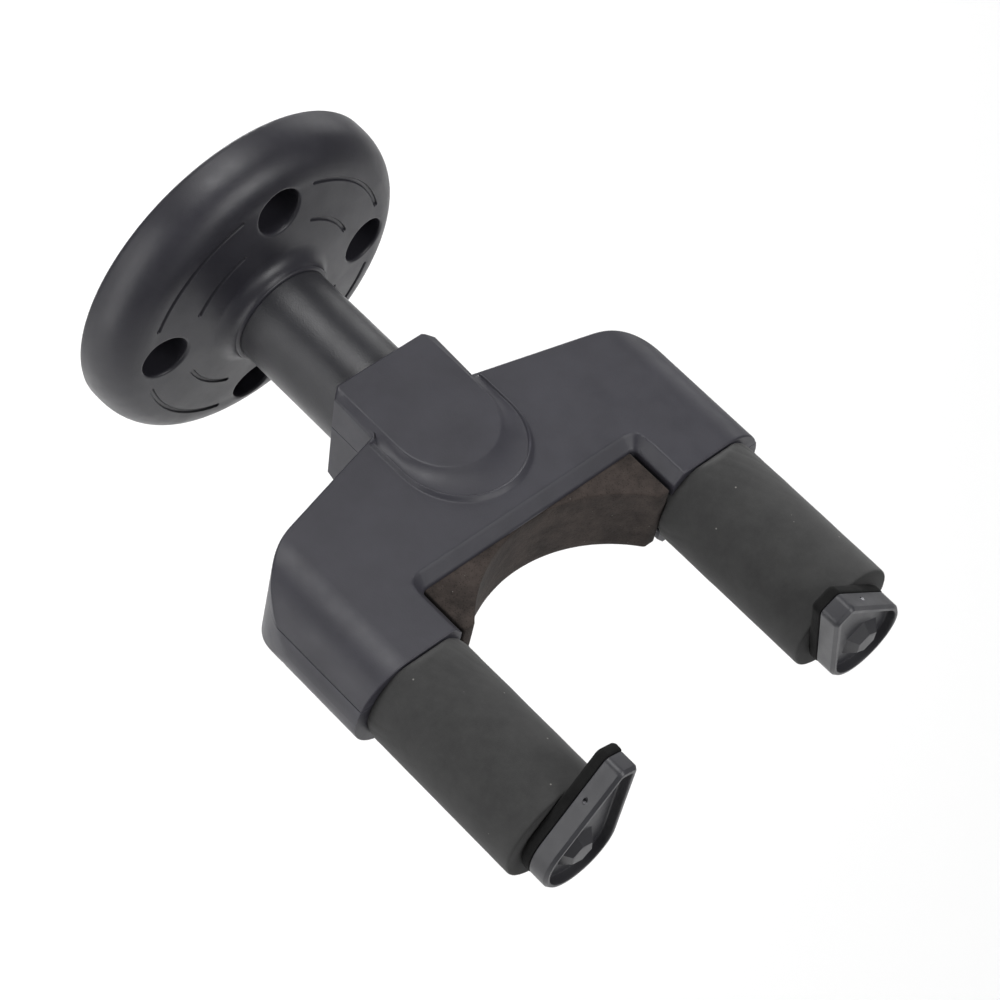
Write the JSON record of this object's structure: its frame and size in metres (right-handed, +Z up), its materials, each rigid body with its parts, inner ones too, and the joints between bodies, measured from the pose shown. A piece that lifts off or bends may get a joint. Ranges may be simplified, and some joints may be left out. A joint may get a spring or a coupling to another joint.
{
  "type": "guitar wall hanger",
  "caption": "Wall hanger for a guitar: round screw plate, short stem, tilting forked yoke with foam-covered arms, and gates that swing shut across the neck gap.",
  "frame": {"origin": "centre of the wall plate's back face, in the plane of the wall", "axes": "+Z up, +Y into the wall, so the hanger reaches out along -Y; +X to the right seen from the room"},
  "size_m": [0.1224, 0.1666, 0.087],
  "materials": {
    "plate_plastic": "satin charcoal moulding, fine grain",
    "shell_plastic": "satin charcoal moulding with a slight blue tint, fine grain",
    "gate_plastic": "satin dark grey moulding",
    "stem_paint": "satin dark powder coat on steel tube",
    "block_alloy": "plain cast",
    "arm_alloy": "plain drawn tube",
    "screw_steel": "bright plated",
    "fork_steel": "stamped, plated",
    "spring_steel": "bright spring wire",
    "clip_steel": "dark oiled spring steel",
    "bush_plastic": "black acetal",
    "sleeve_foam": "closed-cell foam with a fine matt skin",
    "pad_foam": "dense dark foam, cut face",
    "gate_rubber": "soft black rubber"
  },
  "bodies": {
    "stem": {"wall_plate": "plate_plastic", "stem_tube": "stem_paint", "flange_screws": "screw_steel", "pivot_block": "block_alloy", "block_rivet": "screw_steel", "pivot_bushes": "bush_plastic", "drive_fork": "fork_steel", "fork_screws": "screw_steel", "return_spring": "spring_steel"},
    "yoke": {"upper_shell": "shell_plastic", "lower_shell": "shell_plastic", "shell_screws": "screw_steel", "pivot_pin": "screw_steel", "neck_pad": "pad_foam", "arm_tube_left": "arm_alloy", "arm_tube_right": "arm_alloy", "sleeve_left": "sleeve_foam", "sleeve_right": "sleeve_foam", "front_bush_left": "bush_plastic", "front_bush_right": "bush_plastic", "rear_bush_left": "bush_plastic", "rear_bush_right": "bush_plastic"},
    "gate_left": {"gate_tab_left": "gate_plastic", "gate_pad_left": "gate_rubber", "gate_shaft_left": "screw_steel", "gate_crank_left": "fork_steel", "crank_pin_left": "screw_steel", "shaft_clip_left": "clip_steel", "tab_pin_left": "screw_steel"},
    "gate_right": {"gate_tab_right": "gate_plastic", "gate_pad_right": "gate_rubber", "gate_shaft_right": "screw_steel", "gate_crank_right": "fork_steel", "crank_pin_right": "screw_steel", "shaft_clip_right": "clip_steel", "tab_pin_right": "screw_steel"}
  },
  "joints": [
    {"name": "yoke_tilt", "type": "hinge", "parent": "stem", "child": "yoke", "pos_m": [0, -0.0712, 0], "axis": [1, 0, 0], "range_deg": [0, 8], "stiffness_Nm_per_rad": 0.25, "springref_deg": -40.11, "deforming": ["return_spring"]},
    {"name": "gate_left_turn", "type": "hinge", "parent": "yoke", "child": "gate_left", "pos_m": [-0.044, -0.13, 0], "axis": [0, 1, 0], "range_deg": [0, 66]},
    {"name": "gate_right_turn", "type": "hinge", "parent": "yoke", "child": "gate_right", "pos_m": [0.044, -0.13, 0], "axis": [0, 1, 0], "range_deg": [-66, 0]}
  ],
  "couplings": [
    {"joint": "gate_left_turn", "follows": "yoke_tilt", "ratio": 8.25},
    {"joint": "gate_right_turn", "follows": "yoke_tilt", "ratio": -8.25}
  ]
}
